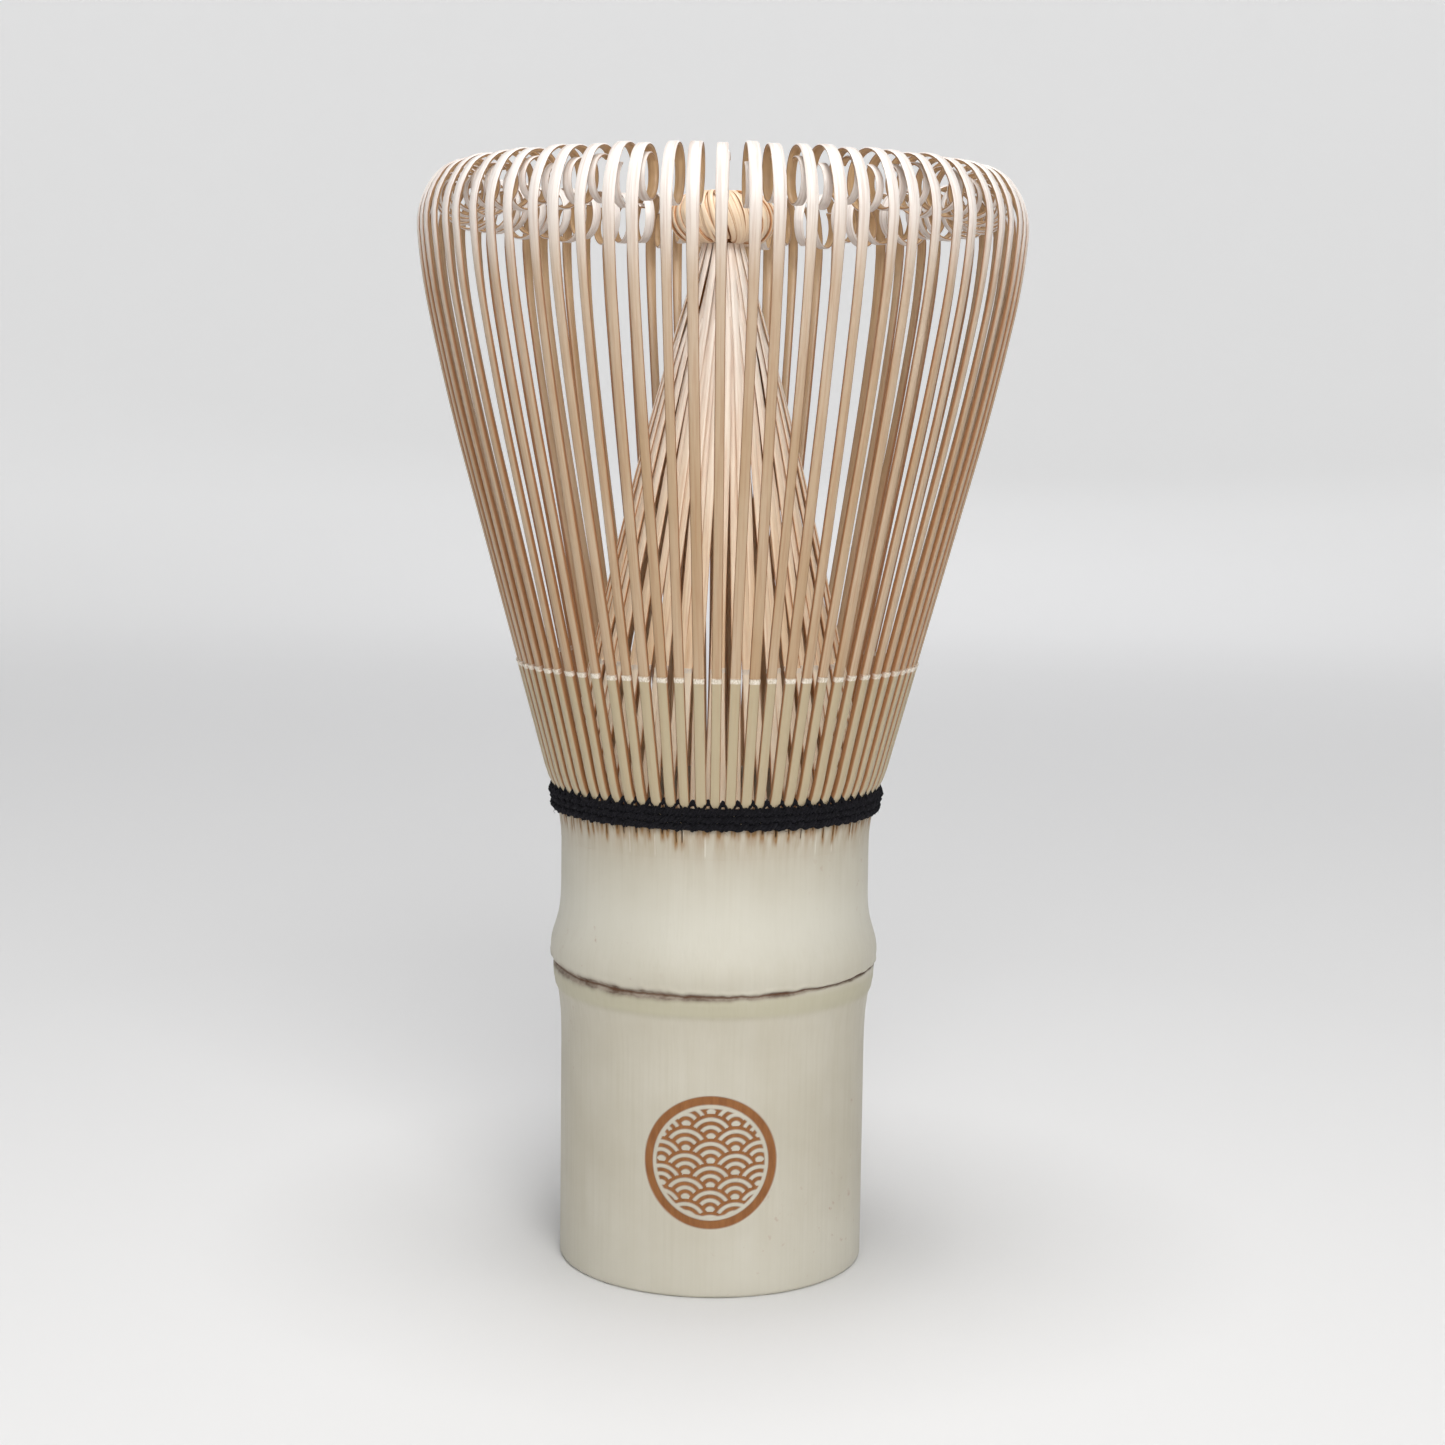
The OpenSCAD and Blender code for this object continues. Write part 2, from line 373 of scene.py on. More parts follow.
def tine_wood(name, pale, deep, skin, edge, tip, hollow):
    """Shaved bamboo: the strip mark is (across, own tone, length along), so the fibres bend with the tine.

    The tip mark grows from 0 to 1 towards the tip on the outer face, where it paints a highlight in the tip
    colour, and to -1 on the hollow face.
    """
    n = Nodes(name, 0.4, Specular_IOR_Level=0.5)
    strip = n.mark("strip")["Vector"]
    fibres = n.noise(n.stretched(strip, (5.0, 40, 0.16)), 1.0, 4)
    long_tone = n.noise(n.stretched(strip, (0.3, 31, 0.05)), 1.0, 2)
    colour = n.mix(n.range(long_tone, 0.32, 0.68), pale, deep)
    # Painted highlight: the outer face whitens towards the tip, where light from above falls on the loops.
    colour = n.mix(n.range(n.mark("tip")["Fac"], 0, 1, 0, 0.85), colour, tip)
    colour = n.mix(n.range(n.mark("tip")["Fac"], 0, -1, 0, 0.6), colour, hollow)
    colour = n.mix(n.range(fibres, 0.45, 0.75, 0, 0.4), colour, edge)
    skin_tone = n.mix(n.range(fibres, 0.45, 0.75, 0, 0.3), skin, deep)
    colour = n.mix(n.range(n.mark("skin")["Fac"], 0.55, 0.9), colour, skin_tone)
    # Partly painted shade: the sides, and a little the underside, turn orange-brown for shade between
    # neighbouring strips, on top of the cut sides' own tone. This fades towards the tip.
    side = n.range(n.mark("edge")["Fac"], 0.2, 0.9, 0.0, 0.85)
    away_from_tip = n.math("SUBTRACT", 1.0, n.math("ABSOLUTE", n.mark("tip")["Fac"]), clamp=True)
    side = n.math("MULTIPLY", side, away_from_tip)
    colour = n.mix(side, colour, edge)
    torn = n.range(n.noise(n.stretched(strip, (9, 60, 3.5)), 1.0, 3), 0.35, 0.62, 0.2, 0.9)
    fray = n.math("MULTIPLY", n.mark("fray")["Fac"], torn)
    colour = n.mix(fray, colour, srgb(236, 228, 216))
    rough = n.range(fibres, 0.3, 0.75, 0.32, 0.5)
    return n.finish(colour, rough, n.bump(fibres, 0.00003, 0.6))


def black_thread():
    """Dull black cotton, with lint that catches a little light."""
    n = Nodes("black_thread", 0.85, Specular_IOR_Level=0.2, Sheen_Weight=0.08, Sheen_Roughness=0.5)
    n.shader.inputs["Sheen Tint"].default_value = srgb(140, 138, 160)
    place = n.place()
    lint = n.noise(place, 5200, 4, 0.7)
    colour = n.mix(n.range(lint, 0.4, 0.75), srgb(8, 8, 10), srgb(27, 25, 32))
    return n.finish(colour, normal=n.bump(lint, 0.00008, 0.8))


SKIN = culm_skin()
CUT = cut_bamboo()
MEMBRANE = membrane()
KNOT_PAINTED_SHADE = knot_shade()
OUTER_WOOD = tine_wood(
    "outer_tine",
    pale=srgb(188, 165, 138),
    deep=srgb(173, 144, 110),
    skin=srgb(176, 161, 131),
    # edge: fibre streaks, and partly painted shade on the strip's sides
    edge=srgb(150, 98, 54),
    # tip: colour of the painted highlight on the loops
    tip=srgb(246, 241, 237),
    hollow=srgb(224, 188, 140),
)
INNER_WOOD = tine_wood(
    "inner_tine",
    pale=srgb(248, 228, 200),
    deep=srgb(232, 202, 164),
    # skin: the inner tines' pale skin, raised further as painted light on their lower part, which sits in
    # shade between the outer tines
    skin=srgb(252, 242, 220),
    # edge: fibre streaks, and partly painted shade on the strip's sides
    edge=srgb(190, 124, 68),
    # tip: colour of the painted highlight towards the neck and knot
    tip=srgb(255, 245, 235),
    hollow=srgb(232, 200, 160),
)
THREAD = black_thread()

# ---- The culm: grip, node and split collar ----

FRONT = -math.pi / 2
RIDGE_Z, RIDGE_HALF, RIDGE_H = 31.2, 2.6, 0.93
SHOULDER_Z, SHOULDER_HALF, SHOULDER_H = 27.8, 2.6, 0.28
SHOULDER_EDGE_Z = 27.2
SCAR_Z = 29.15
SWELL_Z = 22.0
NECK_R = GRIP_R + 0.12
FOOT_ROUND = 0.45
PARED_R = 14.1
PARE_Z = 38.0
STAMP_Z = 13.2
STAMP_R = 6.0
STAMP_LINE = 0.42
STAMP_REACH = 8  # the stamp is only looked for this far from its middle
STAMP_STEP = 0.085  # how far apart the grip's points are on the stamp
BURN_DEPTH = 0.07
WAVE_R = 2.35
WAVE_LINE = 0.2


def stamp(across, up):
    """How burned the skin is at a point of the stamp: a ring filled with overlapping wave arcs."""
    rho = math.hypot(across, up)
    edge = 0.07
    if rho > STAMP_R + STAMP_LINE + 0.2:
        return 0.0
    ring = 1 - smooth(STAMP_LINE - edge, STAMP_LINE + edge, abs(rho - STAMP_R))
    inside = 1 - smooth(STAMP_R - STAMP_LINE - 0.45, STAMP_R - STAMP_LINE - 0.3, rho)
    if inside == 0:
        return ring
    row_step = WAVE_R / 2
    rows = int(STAMP_R / row_step) + 3
    for row in range(-rows, rows):
        middle_z = row * row_step
        shift = WAVE_R * (row % 2)
        middle_x = round((across - shift) / (2 * WAVE_R)) * 2 * WAVE_R + shift
        far = math.hypot(across - middle_x, up - middle_z)
        if far < WAVE_R:
            gaps = [abs(far - WAVE_R * share) for share in (0.94, 0.62, 0.3)]
            return max(ring, inside * (1 - smooth(WAVE_LINE - edge, WAVE_LINE + edge, min(gaps))))
    return ring


def scar_line(angle):
    """Height, half width and depth of the leaf scar, which is broad on the left and thin on the right."""
    x, y = 3 * math.cos(angle), 3 * math.sin(angle)
    height = SCAR_Z + 0.6 * math.sin(angle - FRONT + 0.12) ** 2 + 0.14 * wobble(x * 0.9, y * 0.9)
    height += 0.09 * wobble(x * 3, y * 3, 4) + 0.05 * wobble(x * 9, y * 9)
    broad = 0.21 - 0.08 * math.sin(angle - FRONT) + 0.08 * wobble(x * 1.2, y * 1.2, 9)
    broad += 0.06 * wobble(x * 6, y * 6, 2)
    deep = 0.24 + 0.12 * wobble(x * 2.5, y * 2.5, 6)
    return height, max(0.10, broad), max(0.08, deep)


def browning_at(z):
    """How brown the skin gets on its way up to the thread."""
    return 0.55 * smooth(38.5, 45.5, z) ** 2.2


def culm_r(angle, z):
    """Radius of the skin, with the culm's slight flats and out-of-round."""
    swell = min(1.0, max(0.0, (z - SWELL_Z) / (RIDGE_Z - SWELL_Z)))
    r = GRIP_R + (NECK_R - GRIP_R) * swell + RIDGE_H * bump(z, RIDGE_Z, RIDGE_HALF)
    if z > SWELL_Z:
        r += SHOULDER_H * bump(z, SHOULDER_Z, SHOULDER_HALF)
        r += 0.17 * (smooth(SHOULDER_EDGE_Z - 0.45, SHOULDER_EDGE_Z + 0.25, z) - smooth(28.2, 29.6, z))
    lift = smooth(0.4, 6, z)
    r += 0.05 * lift * wobble(2.2 * math.cos(angle), 2.2 * math.sin(angle), z * 0.03)
    r += 0.025 * wobble(8 * math.cos(angle), 8 * math.sin(angle), z * 0.03)
    return r


SKIN_MARKS = {key: 0.0 for key in ("scar", "deep", "burn", "rim", "green", "glow", "stain")}


def handle_row(z):
    """A row of the grip's skin, with the scar, the stamp and the rounded foot."""

    def at(angle):
        height, broad, deep = scar_line(angle)
        scar = bump(z, height, broad)
        lip = bump(z, height + broad * 2.1, broad)
        across = (angle - FRONT) * GRIP_R
        near_stamp = abs(across) < STAMP_REACH and abs(z - STAMP_Z) < STAMP_REACH
        burn = stamp(across, z - STAMP_Z) if near_stamp else 0.0
        r = culm_r(angle, z) - deep * scar + 0.09 * lip - BURN_DEPTH * burn
        if z < FOOT_ROUND:
            r -= FOOT_ROUND * (1 - math.sqrt(max(0.0, 1 - (1 - z / FOOT_ROUND) ** 2)))
        marks = {
            "scar": min(1.0, 1.6 * bump(z, height - 0.05, broad * (1.35 - 0.5 * math.sin(angle - FRONT)))),
            # deep: painted shade in the bottom of the scar's groove
            "deep": 0.75 * smooth(0.72, 0.97, scar),
            "burn": burn,
            "rim": 1 - min(1.0, abs(burn - 0.55) / 0.4) if burn else 0.0,
            "green": 0.5 * smooth(26.7, 27.5, z) * (1 - smooth(28.6, 29.4, z)),
            # painted light above the node, where light from above falls, and a lighter foot
            "glow": 0.55 * bump(z, 35.0, 4.5) + 0.3 * (1 - smooth(1, 10, z)),
            "stain": browning_at(z),
        }
        return r, z, marks

    return at


def plain_row(r, z):
    """A row of the inside, which is slightly uneven."""

    def at(angle):
        rough = 0.05 * wobble(r * math.cos(angle), r * math.sin(angle), z * 0.05)
        return r + rough, z, {}

    return at


def handle_columns():
    """Angles of the grip's points, close together where the stamp is."""
    half = STAMP_REACH / GRIP_R
    front = steps(FRONT - half, FRONT + half, STAMP_STEP / GRIP_R)
    rest = steps(FRONT + half, FRONT - half + 2 * math.pi, 0.3 / GRIP_R)
    return front + rest[1:-1]


def make_handle():
    shape = Shape()
    heights = [0, 0.06, 0.15, 0.3, FOOT_ROUND]
    for low, high, size in (
        (1.0, STAMP_Z - 7, 0.6),
        (STAMP_Z - 6.9, STAMP_Z + 6.9, STAMP_STEP),
        (STAMP_Z + 7.2, 25.5, 0.6),
        (25.9, 28.1, 0.25),
        (28.2, 30.6, 0.07),
        (30.9, SPLIT_Z, 0.45),
    ):
        heights += steps(low, high, size)
    rows = [handle_row(z) for z in heights]
    lathe(shape, handle_columns(), rows, closed=False, **SKIN_MARKS)
    shape.piece("handle", SKIN, "culm", "culm_skin", ["handle"])

    inside = Shape()
    columns = steps(0, 2 * math.pi, 0.5 / GRIP_R)[:-1]
    edge = GRIP_R - FOOT_ROUND
    rows = [plain_row(edge, 0.02), plain_row(BORE_R + 0.3, 0.02), plain_row(BORE_R, 0.35)]
    rows += [plain_row(BORE_R, z) for z in steps(1.5, BORE_DEPTH - 0.1, 1.4)]
    rows += [plain_row(CAVITY_R, z) for z in steps(DIAPHRAGM_TOP - 1.2, PARE_Z, 1.0)]
    rows += [plain_row(PARED_R, SPLIT_Z)]
    lathe(inside, columns, rows, closed=False)
    inside.piece("handle_inside", CUT, "culm", "culm_inside")


def make_diaphragm():
    shape = Shape()
    columns = steps(0, 2 * math.pi, 0.06)[:-1]
    low = BORE_DEPTH + 0.02
    top = DIAPHRAGM_TOP - 0.15

    def row(share, base, rise):
        def at(angle):
            r = (CAVITY_R - 0.03) * share
            fold = 0.16 * wobble(r * math.cos(angle) * 0.5, r * math.sin(angle) * 0.5, base)
            return r, base + rise * (1 - share * share) + fold * (1 - share), {}

        return at

    shares = [0.02] + steps(0.1, 1.0, 0.08)
    rows = [row(s, low, 0.0) for s in shares] + [row(s, top - 0.8, 0.8) for s in reversed(shares)]
    lathe(shape, columns, rows)
    shape.piece("node_diaphragm", MEMBRANE, "culm", "culm_inside", ["node_diaphragm"])


SLIT_HALF = 0.09
SLIT_DEPTH = 0.6
OUTER_ROOT = 0.62  # share of the pitch taken by an outer tine's root
THREAD_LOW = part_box("thread_lower_turn")[0].z / MM


def slits():
    """Every slit's middle angle, half width, start height, and whether a pale splinter runs on below it."""
    chance, found = random.Random(7), []
    for i in range(TINES):
        for side in (-1, 1):
            angle = math.radians(i * PITCH + side * PITCH * OUTER_ROOT / 2 + chance.uniform(-0.2, 0.2))
            length = 0.1 + 1.5 * chance.random() ** 2 + (0.9 if chance.random() < 0.07 else 0)
            half = SLIT_HALF * chance.uniform(0.55, 1.25) / COLLAR_R
            found.append((angle, half, THREAD_LOW - length, chance.random() < 0.08))
    return sorted(found)


def make_collar():
    """The ring under the thread where the slits start. Each column looks up its slit by its angle."""
    shape, columns, lookup = Shape(), [], {}
    found = slits()
    for this, after in zip(found, found[1:] + [(found[0][0] + 2 * math.pi,) + found[0][1:]]):
        angle, half = this[0], this[1]
        for shift, depth in ((-half, 0.0), (-half * 0.35, 0.8), (half * 0.35, 0.8), (half, 0.0)):
            columns.append(angle + shift)
            lookup[angle + shift] = (this, depth, 1.0)
        for share in (0.12, 0.35, 0.65, 0.88):
            between = angle + half + (after[0] - after[1] - angle - half) * share
            columns.append(between)
            lookup[between] = (this if share < 0.5 else after, 0.0, 1 - 2.4 * min(share, 1 - share))

    def flare(z):
        return NECK_R + (COLLAR_R - 0.05 - NECK_R) * smooth(SPLIT_Z, 45.6, z)

    def row(z):
        def at(angle):
            (middle, _, start, splinter), depth, near = lookup[angle]
            opening = smooth(start, start + 0.9, z)
            brown = 0.75 * near * smooth(start - 0.9, start + 0.3, z) * smooth(SPLIT_Z, 43, z)
            pale = 0.8 * smooth(start - 2.6, start - 2.2, z) * (1 - opening) * smooth(SPLIT_Z, 42.4, z)
            marks = {
                # deep: painted shade in the open slits
                "deep": 0.8 * smooth(0.02, 0.3, opening * depth),
                # browner towards the thread and round the start of each slit
                "stain": min(1.0, browning_at(z) + brown),
                "glow": pale if splinter and depth else 0.0,
            }
            swell = 0.03 * wobble(30 * math.cos(middle), 30 * math.sin(middle), 3)
            return flare(z) + swell * smooth(SPLIT_Z, 43.5, z) - SLIT_DEPTH * opening * depth, z, marks

        return at

    rows = [row(z) for z in [SPLIT_Z] + steps(42.25, 45.3, 0.14) + steps(45.6, COLLAR_TOP, 0.4)]
    rows += [lambda angle: (PARED_R + 0.05, COLLAR_TOP, {}), lambda angle: (PARED_R, SPLIT_Z, {})]
    lathe(shape, columns, rows, closed=False, **SKIN_MARKS)
    shape.piece("split_collar", SKIN, "culm", "culm_inside", ["split_collar"])


# ---- Tines ----

SKIN_CUT = 12.9  # the skin is shaved off from here on, measured along the tine
SKIN_STEP = 0.08
FRAY = 0.45
# Length, and turn in degrees, of an outer tine's stretches from its root. A minus turn is inwards.
TINE_RUN = [(2.4, -14.7), (29.8, 0), (15, -3.4), (7.5, -7), (5.1, -42), (3.3, -62), (8.4, -190)]
STRAIGHT = 1  # the stretch whose length differs from tine to tine
HOOK_FROM = 5  # the first stretch whose size differs from tine to tine
START_LEAN = 30
COIL, COIL_SPREAD = 170, 130  # degrees that a tine's tip coils on after the CAD model's stretches
COIL_STEP = 0.034  # mm of tine for each of those degrees
TINE_WIDE, HOOK_WIDER, TIP_NARROWER = 0.98, 0.27, 0.44
ROOT_THICK, TIP_THICK = 0.70, 0.32
BEVEL = 0.11
UNDERSIDE = 0.92  # share of a strip's width that its underside has


def strip_ring(middle, out, side, width, thick):
    """Eight points round a strip: flat faces with small bevels. out and side are its two directions."""
    bevel = min(BEVEL, 0.3 * thick)
    wide, narrow, half = width / 2, width * UNDERSIDE / 2, thick / 2
    corners = [
        (bevel - wide, half), (wide - bevel, half), (wide, half - bevel), (narrow, bevel - half),
        (narrow - bevel, -half), (bevel - narrow, -half), (-narrow, bevel - half), (-wide, half - bevel),
    ]
    return [middle + side * a + out * n for a, n in corners]


# For each of those eight points: is it on the outer face, how near a side, and where across
OUTSIDE = [1.0, 1.0, 1.0, 0.0, 0.0, 0.0, 0.0, 1.0]
# SIDES also sets how much of that painted shade a point takes: full on the sides, a little on the
# underside.
SIDES = [0.0, 0.0, 1.0, 1.0, 0.25, 0.25, 1.0, 1.0]
ACROSS = [-0.8, 0.8, 1.0, 0.9, 0.7, -0.7, -0.9, -1.0]


def add_strip(shape, samples, tone):
    """samples: (middle, out, side, width, thickness, length along, skin, fray, tip) for each ring."""
    rings, strip, skin, fray, tip = [], [], [], [], []
    for middle, out, side, width, thick, along, skinned, frayed, tipped in samples:
        rings.append([tuple(p) for p in strip_ring(middle, out, side, width, thick)])
        strip.append([(a * width / 2, tone, along) for a in ACROSS])
        skin.append([skinned * o for o in OUTSIDE])
        fray.append([frayed * o for o in OUTSIDE])
        tip.append([tipped if o else -tipped for o in OUTSIDE])
    edge = [list(SIDES) for _ in rings]
    shape.tube(rings, strip=strip, skin=skin, fray=fray, tip=tip, edge=edge)


def skin_at(along, cut):
    """Skin, fray and the step in the outer face at a length along a tine."""
    if along > cut:
        return 0.0, 1.0 - smooth(cut, cut + 0.05, along), -SKIN_STEP
    lip = smooth(cut - FRAY, cut, along)
    return 1.0, smooth(cut - FRAY - 0.05, cut - FRAY + 0.05, along), 0.07 * lip


def skin_stops(cut):
    """Lengths along a tine that need a ring, so that the frayed end of the skin is crisp."""
    return [cut - FRAY - 0.05, cut - FRAY + 0.05, cut - 0.2, cut, cut + 0.02, cut + 0.07]


def tine_runs(i):
    """The CAD tine's stretches, then a few more degrees of coil that differ from tine to tine."""
    run = []
    for k, (length, turn) in enumerate(TINE_RUN):
        size = 1 if k < HOOK_FROM else 1 + 0.08 * vary(i, 1)
        longer = 0.4 * vary(i, 2) if k == STRAIGHT else 0
        more = 1 + 0.12 * vary(i, 3) if k == len(TINE_RUN) - 1 else 1
        run.append((length * size * more + longer, turn * more))
    coil = COIL + COIL_SPREAD * vary(i, 8)
    run.append((coil * COIL_STEP, -coil))
    return run


def outer_samples(i):
    """Rings along an outer tine, in its own radial plane before it is turned to its place."""
    cut = SKIN_CUT + 0.25 * vary(i, 6)
    run = tine_runs(i)
    total = sum(length for length, _ in run)
    r, z, heading, along = HINGE_R, TINE_Z, START_LEAN + 0.2 * vary(i, 4), 0.0
    found = [
        (HINGE_R - 0.15, TINE_Z - 1.6, 4.0, -1.7),
        (HINGE_R - 0.1, TINE_Z - 0.5, 14.0, -0.6),
        (r, z, heading, 0.0),
    ]
    for length, turn in run:
        n = max(1, math.ceil(abs(turn) / 9), math.ceil(length / 1.5))
        stops = {length * k / n for k in range(1, n + 1)}
        stops |= {m - along for m in skin_stops(cut) if 0 < m - along < length}
        done = 0.0
        for stop in sorted(stops):
            part = stop - done
            bend = turn * part / length
            half = math.radians(bend / 2)
            chord = part * (math.sin(half) / half if abs(half) > 1e-6 else 1)
            r += chord * math.sin(math.radians(heading + bend / 2))
            z += chord * math.cos(math.radians(heading + bend / 2))
            heading += bend
            done = stop
            found.append((r, z, heading, along + stop))
        along += length
    hook = sum(length for length, _ in run[:HOOK_FROM - 1])
    return found, total, hook, cut


def outer_tine(shape, i):
    """Adds one outer tine, turned to its place, with its own width, sway and coil."""
    found, total, hook, cut = outer_samples(i)
    turn = math.radians(i * PITCH + 0.15 * vary(i, 5))
    around = Vector((-math.sin(turn), math.cos(turn), 0))
    radial = Vector((math.cos(turn), math.sin(turn), 0))
    lean_side = 1 if vary(i, 9) > 0 else -1
    samples = []
    for r, z, heading, along in found:
        h = math.radians(heading)
        out = radial * math.cos(h) - Vector((0, 0, math.sin(h)))
        share = max(0.0, along) / total
        coil = max(0.0, along - hook) / (total - hook)
        width = TINE_WIDE + 0.08 * vary(i, 30) - 0.05 * smooth(0.15, 0.55, share)
        width += HOOK_WIDER * smooth(hook - 9, hook + 5, along)
        width -= TIP_NARROWER * coil
        thick = ROOT_THICK + (TIP_THICK - ROOT_THICK) * share
        skinned, frayed, step = skin_at(along, cut)
        aside = 0.07 * vary(i, 31) + 0.32 * vary(i, 7) * smooth(0.1, 0.75, share)
        aside += 0.1 * vary(i, 12) * math.sin(6 * share)
        aside += lean_side * 0.34 * coil * coil
        middle = radial * r + Vector((0, 0, z)) + around * aside + out * step / 2
        # pale: painted highlight, faint from 34 mm along, strong round the hook
        pale = 0.12 * smooth(34, 48, along) + 0.88 * smooth(hook - 7, hook + 4, along)
        samples.append((middle, out, around, width, thick + step, along, skinned, frayed, pale))
    add_strip(shape, samples, vary(i, 10))


def make_outer_tines():
    for g, joint in enumerate(JOINTS):
        node, shape = f"outer_tines_{g + 1:02d}", Shape()
        for k in range(TINES_EACH):
            outer_tine(shape, g * TINES_EACH + k)
        made = shape.piece(node, OUTER_WOOD, None, "outer_tine", [node])
        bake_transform(made)


INNER_ROOT_R = 14.6
NECK_Z = 98.2
NECK_R_OUT = 2.25
LAYER_STEP = 0.27  # how far each layer of inner tines lies inside the one before it
BOW = 0.26  # how far the cone bulges between its root and its neck
INNER_WIDE, INNER_NECK_WIDE = 0.9, 0.6
INNER_THICK, INNER_NECK_THICK = 0.42, 0.22


def inner_point(i, share):
    """Middle of inner tine i at a share of its height: (r, z, angle, layer depth)."""
    layer = (0, 3, 2, 1)[i % 4]
    g = 1 - share + BOW * share * (1 - share)
    depth = LAYER_STEP * (layer % 2) * smooth(0.2, 0.5, share)
    depth += LAYER_STEP * 2 * (layer // 2) * smooth(0.78, 0.98, share)
    r = NECK_R_OUT + (INNER_ROOT_R - NECK_R_OUT) * g - depth + 0.1 * vary(i, 22) * math.sin(math.pi * share)
    sway = 1.5 * vary(i, 20) * math.sin(math.pi * share) + 0.9 * vary(i, 21) * math.sin(2 * math.pi * share)
    angle = math.radians((i + 0.5) * PITCH + sway + 9 * share ** 3)
    return r, TINE_Z + (NECK_Z - TINE_Z) * share, angle, layer


def inner_tine(shape, i):
    """Adds one tine of the cone, from its root up into the knot."""
    samples, cut = [], SKIN_CUT + 0.2 * vary(i, 23)
    height = NECK_Z - TINE_Z
    length = math.hypot(height, INNER_ROOT_R - NECK_R_OUT)
    stops = set(steps(-0.03, 1.02, 0.028))
    stops |= {m / length for m in skin_stops(cut)}
    for share in sorted(stops):
        r, z, angle, layer = inner_point(i, share)
        ahead = Vector(polar(*[inner_point(i, share + 0.01)[k] for k in (0, 2, 1)]))
        here = Vector(polar(r, angle, z))
        along_line = (ahead - here).normalized()
        around = Vector((-math.sin(angle), math.cos(angle), 0))
        out = around.cross(along_line).normalized()
        side = along_line.cross(out)
        width = INNER_WIDE + (INNER_NECK_WIDE - 0.05 * layer - INNER_WIDE) * max(0.0, share) ** 1.6
        thick = INNER_THICK + (INNER_NECK_THICK - INNER_THICK) * share
        skinned, frayed, step = skin_at(share * length, cut)
        # pale: painted highlight towards the neck
        pale = smooth(0.3, 1.0, share)
        middle, along = here + out * step / 2, share * length
        samples.append((middle, out, side, width, thick + step, along, skinned * 0.8, frayed, pale))
    add_strip(shape, samples, vary(i, 24))


def make_inner_tines():
    for g in range(SEGMENTS):
        node, shape = f"inner_tines_{g + 1:02d}", Shape()
        for k in range(TINES_EACH):
            inner_tine(shape, g * TINES_EACH + k)
        shape.piece(node, INNER_WOOD, "culm", "inner_tine", [node])


# ---- Knot ----

KNOT_Z = 101.6
KNOT_MID_R = 2.65
KNOT_TALL = 2.42
STRANDS = 108
KNOT_START = 150  # degrees round the bun's section: 0 is its outermost line, 90 its top
KNOT_END = -172
KNOT_STEPS = 34
STRAND_THICK = 0.24
STRAND_LENGTH = 7


def knot_point(angle, degrees, size):
    """A point on the bun at an angle round the axis and an angle round its section."""
    a = math.radians(degrees)
    size *= 1 - 0.13 * smooth(-60, -170, degrees) if degrees < -60 else 1.0
    r = KNOT_MID_R + (KNOT_R - KNOT_MID_R) * size * math.cos(a)
    return Vector(polar(max(0.2, r), angle, KNOT_Z + KNOT_TALL * size * math.sin(a)))


def knot_strand(shape, k):
    """One curled tip: up through the neck, out over the top, down the outside and back in underneath."""
    chance = random.Random(500 + k)
    size = 0.985 - 0.065 * (k % 3) + chance.uniform(-0.035, 0.015)
    start = 2 * math.pi * k / STRANDS + chance.uniform(-0.05, 0.05)
    twist = math.radians(52 + chance.uniform(-18, 18))
    widest = 0.50 + chance.uniform(-0.08, 0.14)
    last = KNOT_END + chance.uniform(-5, 30)
    tone = chance.uniform(-1, 1)
    samples = []

    def point(degrees):
        return knot_point(start + twist * (KNOT_START - degrees) / 320, degrees, size)

    for n in range(KNOT_STEPS + 1):
        degrees = KNOT_START + (last - KNOT_START) * n / KNOT_STEPS
        here, along_line = point(degrees), (point(degrees - 2) - point(degrees)).normalized()
        a = math.radians(degrees)
        flat = Vector((here.x, here.y, 0)).normalized()
        side = along_line.cross(flat * math.cos(a) + Vector((0, 0, math.sin(a)))).normalized()
        out = side.cross(along_line)
        width = min(widest, 0.1 + 0.3 * math.hypot(here.x, here.y))
        length = STRAND_LENGTH * n / KNOT_STEPS
        # 0.05: a faint painted highlight on the knot's strands
        samples.append((here, out, side, width, STRAND_THICK, length, 0.0, 0.0, 0.05))
    add_strip(shape, samples, tone)


def make_knot():
    """The bun of curled tips, round a brown sheet of painted shade that shows between them."""
    shape = Shape()
    for k in range(STRANDS):
        knot_strand(shape, k)
    shape.piece("center_knot", INNER_WOOD, "culm", "inner_tine", ["center_knot"])
    # A brown sheet of painted shade inside the bun, standing in for the shaded strands further in.
    shade_sheet = Shape()
    rows = []
    around = steps(0, 2 * math.pi, 0.2)[:-1]
    for share in (0.62, 0.7, 0.8, 0.9, 1.0):
        r, z, _, _ = inner_point(0, share)
        rows.append([polar(r - 1.1, angle, z) for angle in around])
    for degrees in steps(-150, 90, 12):
        rows.append([tuple(knot_point(angle, degrees, 0.8)) for angle in around])
    rows.append([polar(0.4, angle, KNOT_Z + 0.9) for angle in around])
    shade_sheet.tube(rows)
    shade_sheet.piece("knot_core", KNOT_PAINTED_SHADE, "culm", "inner_tine")


# ---- Thread ----

PLIES = 3
TIE_YARN_R = 0.16


